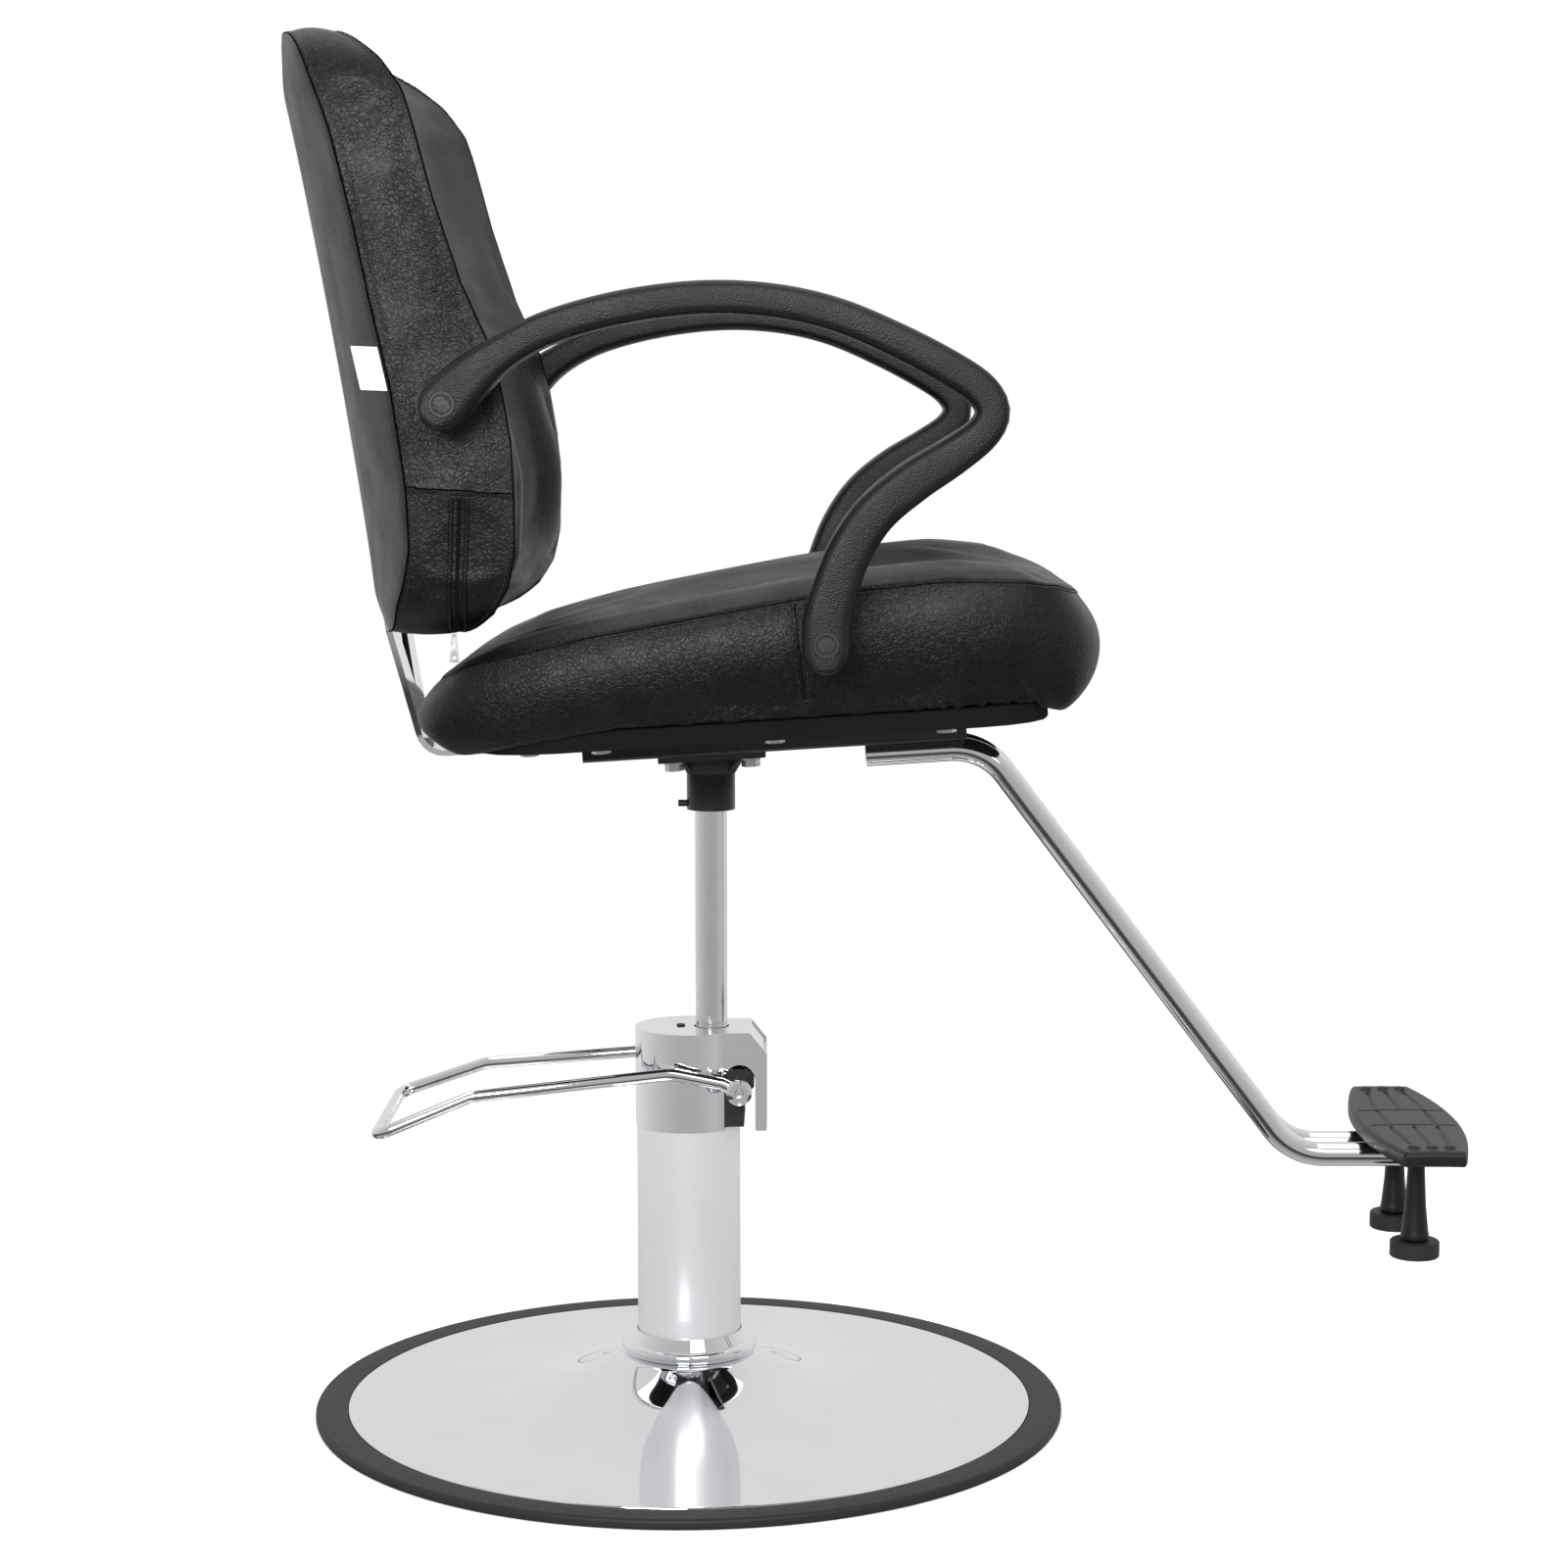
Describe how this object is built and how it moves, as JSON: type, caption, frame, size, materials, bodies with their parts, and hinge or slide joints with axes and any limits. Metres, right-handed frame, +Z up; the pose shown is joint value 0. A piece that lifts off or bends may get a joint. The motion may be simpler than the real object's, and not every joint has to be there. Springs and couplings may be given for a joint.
{
  "type": "styling chair",
  "caption": "Hydraulic salon styling chair: round chromed base, pump with a looped pedal, padded seat and wrap-round back, looped arms and a bent-tube footrest.",
  "frame": {"origin": "centre of the flat underside of the base plate, on the floor, on the column's axis", "axes": "+Z up, +X the way the sitter faces, +Y to the sitter's left"},
  "size_m": [0.9288, 0.6, 1.073],
  "materials": {
    "chrome": "polished",
    "satin_steel": "satin",
    "bright_steel": "satin",
    "zinc": "satin",
    "black_enamel": "satin",
    "cast_iron": "matte",
    "rubber": "matte",
    "black_plastic": "matte",
    "arm_skin": "matte",
    "leatherette": "satin",
    "covered_board": "matte"
  },
  "bodies": {
    "base": {"base_plate": "bright_steel", "base_cover": "chrome", "base_rim": "rubber", "column_collar": "chrome", "column_tube": "satin_steel", "pump_cylinder": "cast_iron", "pump_head": "cast_iron", "ram_gland": "bright_steel", "pump_cap": "chrome", "vent_plug": "black_plastic", "plunger_spring": "bright_steel", "base_screw_1": "zinc", "base_screw_2": "zinc", "base_screw_3": "zinc", "base_screw_4": "zinc"},
    "ram": {"ram": "chrome", "ram_seal": "rubber"},
    "seat": {"arm_left": "arm_skin", "arm_plug_left_front": "black_plastic", "arm_plug_left_rear": "black_plastic", "arm_plug_right_front": "black_plastic", "arm_plug_right_rear": "black_plastic", "arm_right": "arm_skin", "back_bracket": "chrome", "back_cushion": "leatherette", "back_panel": "covered_board", "bracket_bolt_1": "zinc", "bracket_bolt_2": "zinc", "bracket_packer": "black_enamel", "footrest_foot_left": "rubber", "footrest_foot_right": "rubber", "footrest_leg_left": "black_plastic", "footrest_leg_right": "black_plastic", "footrest_pad": "black_plastic", "footrest_plate": "black_enamel", "footrest_tube_left": "chrome", "footrest_tube_right": "chrome", "hub_lock_screw": "black_enamel", "pan_bolt_left_1": "zinc", "pan_bolt_left_2": "zinc", "pan_bolt_left_3": "zinc", "pan_bolt_right_1": "zinc", "pan_bolt_right_2": "zinc", "pan_bolt_right_3": "zinc", "plate_bolt_1": "zinc", "plate_bolt_2": "zinc", "plate_bolt_3": "zinc", "plate_bolt_4": "zinc", "seat_board": "covered_board", "seat_cushion": "leatherette", "seat_hub": "black_enamel", "seat_pan": "black_enamel", "zip_pull": "zinc"},
    "pedal": {"pedal_loop": "chrome", "pedal_shaft": "bright_steel", "pedal_bolt_left": "chrome", "pedal_bolt_right": "chrome", "pump_finger": "bright_steel"},
    "plunger": {"pump_plunger": "bright_steel"}
  },
  "joints": [
    {"name": "seat_lift", "type": "slide", "parent": "base", "child": "ram", "axis": [0, 0, 1], "range_m": [-0.13, 0]},
    {"name": "seat_swivel", "type": "hinge", "parent": "ram", "child": "seat", "pos_m": [0.0185, 0, 0.51], "axis": [0, 0, 1], "continuous": true},
    {"name": "pedal_press", "type": "hinge", "parent": "base", "child": "pedal", "pos_m": [0.0415, 0, 0.27], "axis": [0, -1, 0], "range_deg": [0, 22], "stiffness_Nm_per_rad": 8, "springref_deg": -14.32},
    {"name": "plunger_stroke", "type": "slide", "parent": "base", "child": "plunger", "axis": [0, 0, -1], "range_m": [0, 0.0132], "deforming": ["plunger_spring"]}
  ],
  "couplings": [
    {"joint": "plunger_stroke", "follows": "pedal_press", "m_per_rad": 0.034}
  ]
}
